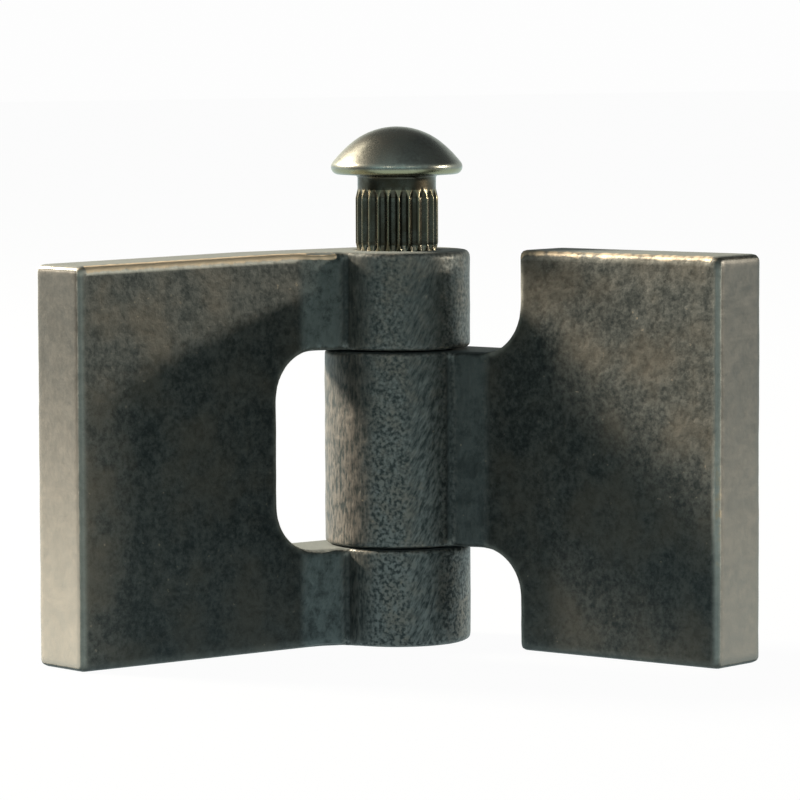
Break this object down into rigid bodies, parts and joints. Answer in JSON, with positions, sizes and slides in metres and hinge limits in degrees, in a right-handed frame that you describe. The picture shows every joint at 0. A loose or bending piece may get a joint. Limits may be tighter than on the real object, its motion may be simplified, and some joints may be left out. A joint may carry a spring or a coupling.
{
  "type": "butt hinge",
  "caption": "Weld-on butt hinge in plain steel: thick flat leaves with solid knuckles that interlock on a loose drive pin with a domed head and a fluted band.",
  "frame": {"origin": "on the pin axis, at the level of the face that the hinge stands on", "axes": "+Z along the pin towards its head; the two-knuckle leaf points along -X and its weld face looks along +Y; the leaves open towards -Y"},
  "size_m": [0.0685, 0.0582, 0.0657],
  "materials": {
    "leaf_steel": "bare hot-worked steel with dark mill scale, bright where edges are worn",
    "pin_steel": "smooth cold-headed steel, slightly browned in the flutes"
  },
  "bodies": {
    "fixed_leaf": {"two_knuckle_leaf": "leaf_steel"},
    "moving_leaf": {"one_knuckle_leaf": "leaf_steel"},
    "pin": {"drive_pin": "pin_steel"}
  },
  "joints": [
    {"name": "leaf_swing", "type": "hinge", "parent": "fixed_leaf", "child": "moving_leaf", "pos_m": [0, 0, 0.025], "axis": [0, 0, 1], "range_deg": [-101, 190]},
    {"name": "pin_lift", "type": "slide", "parent": "fixed_leaf", "child": "pin", "axis": [0, 0, 1], "range_m": [0, 0.038]}
  ]
}
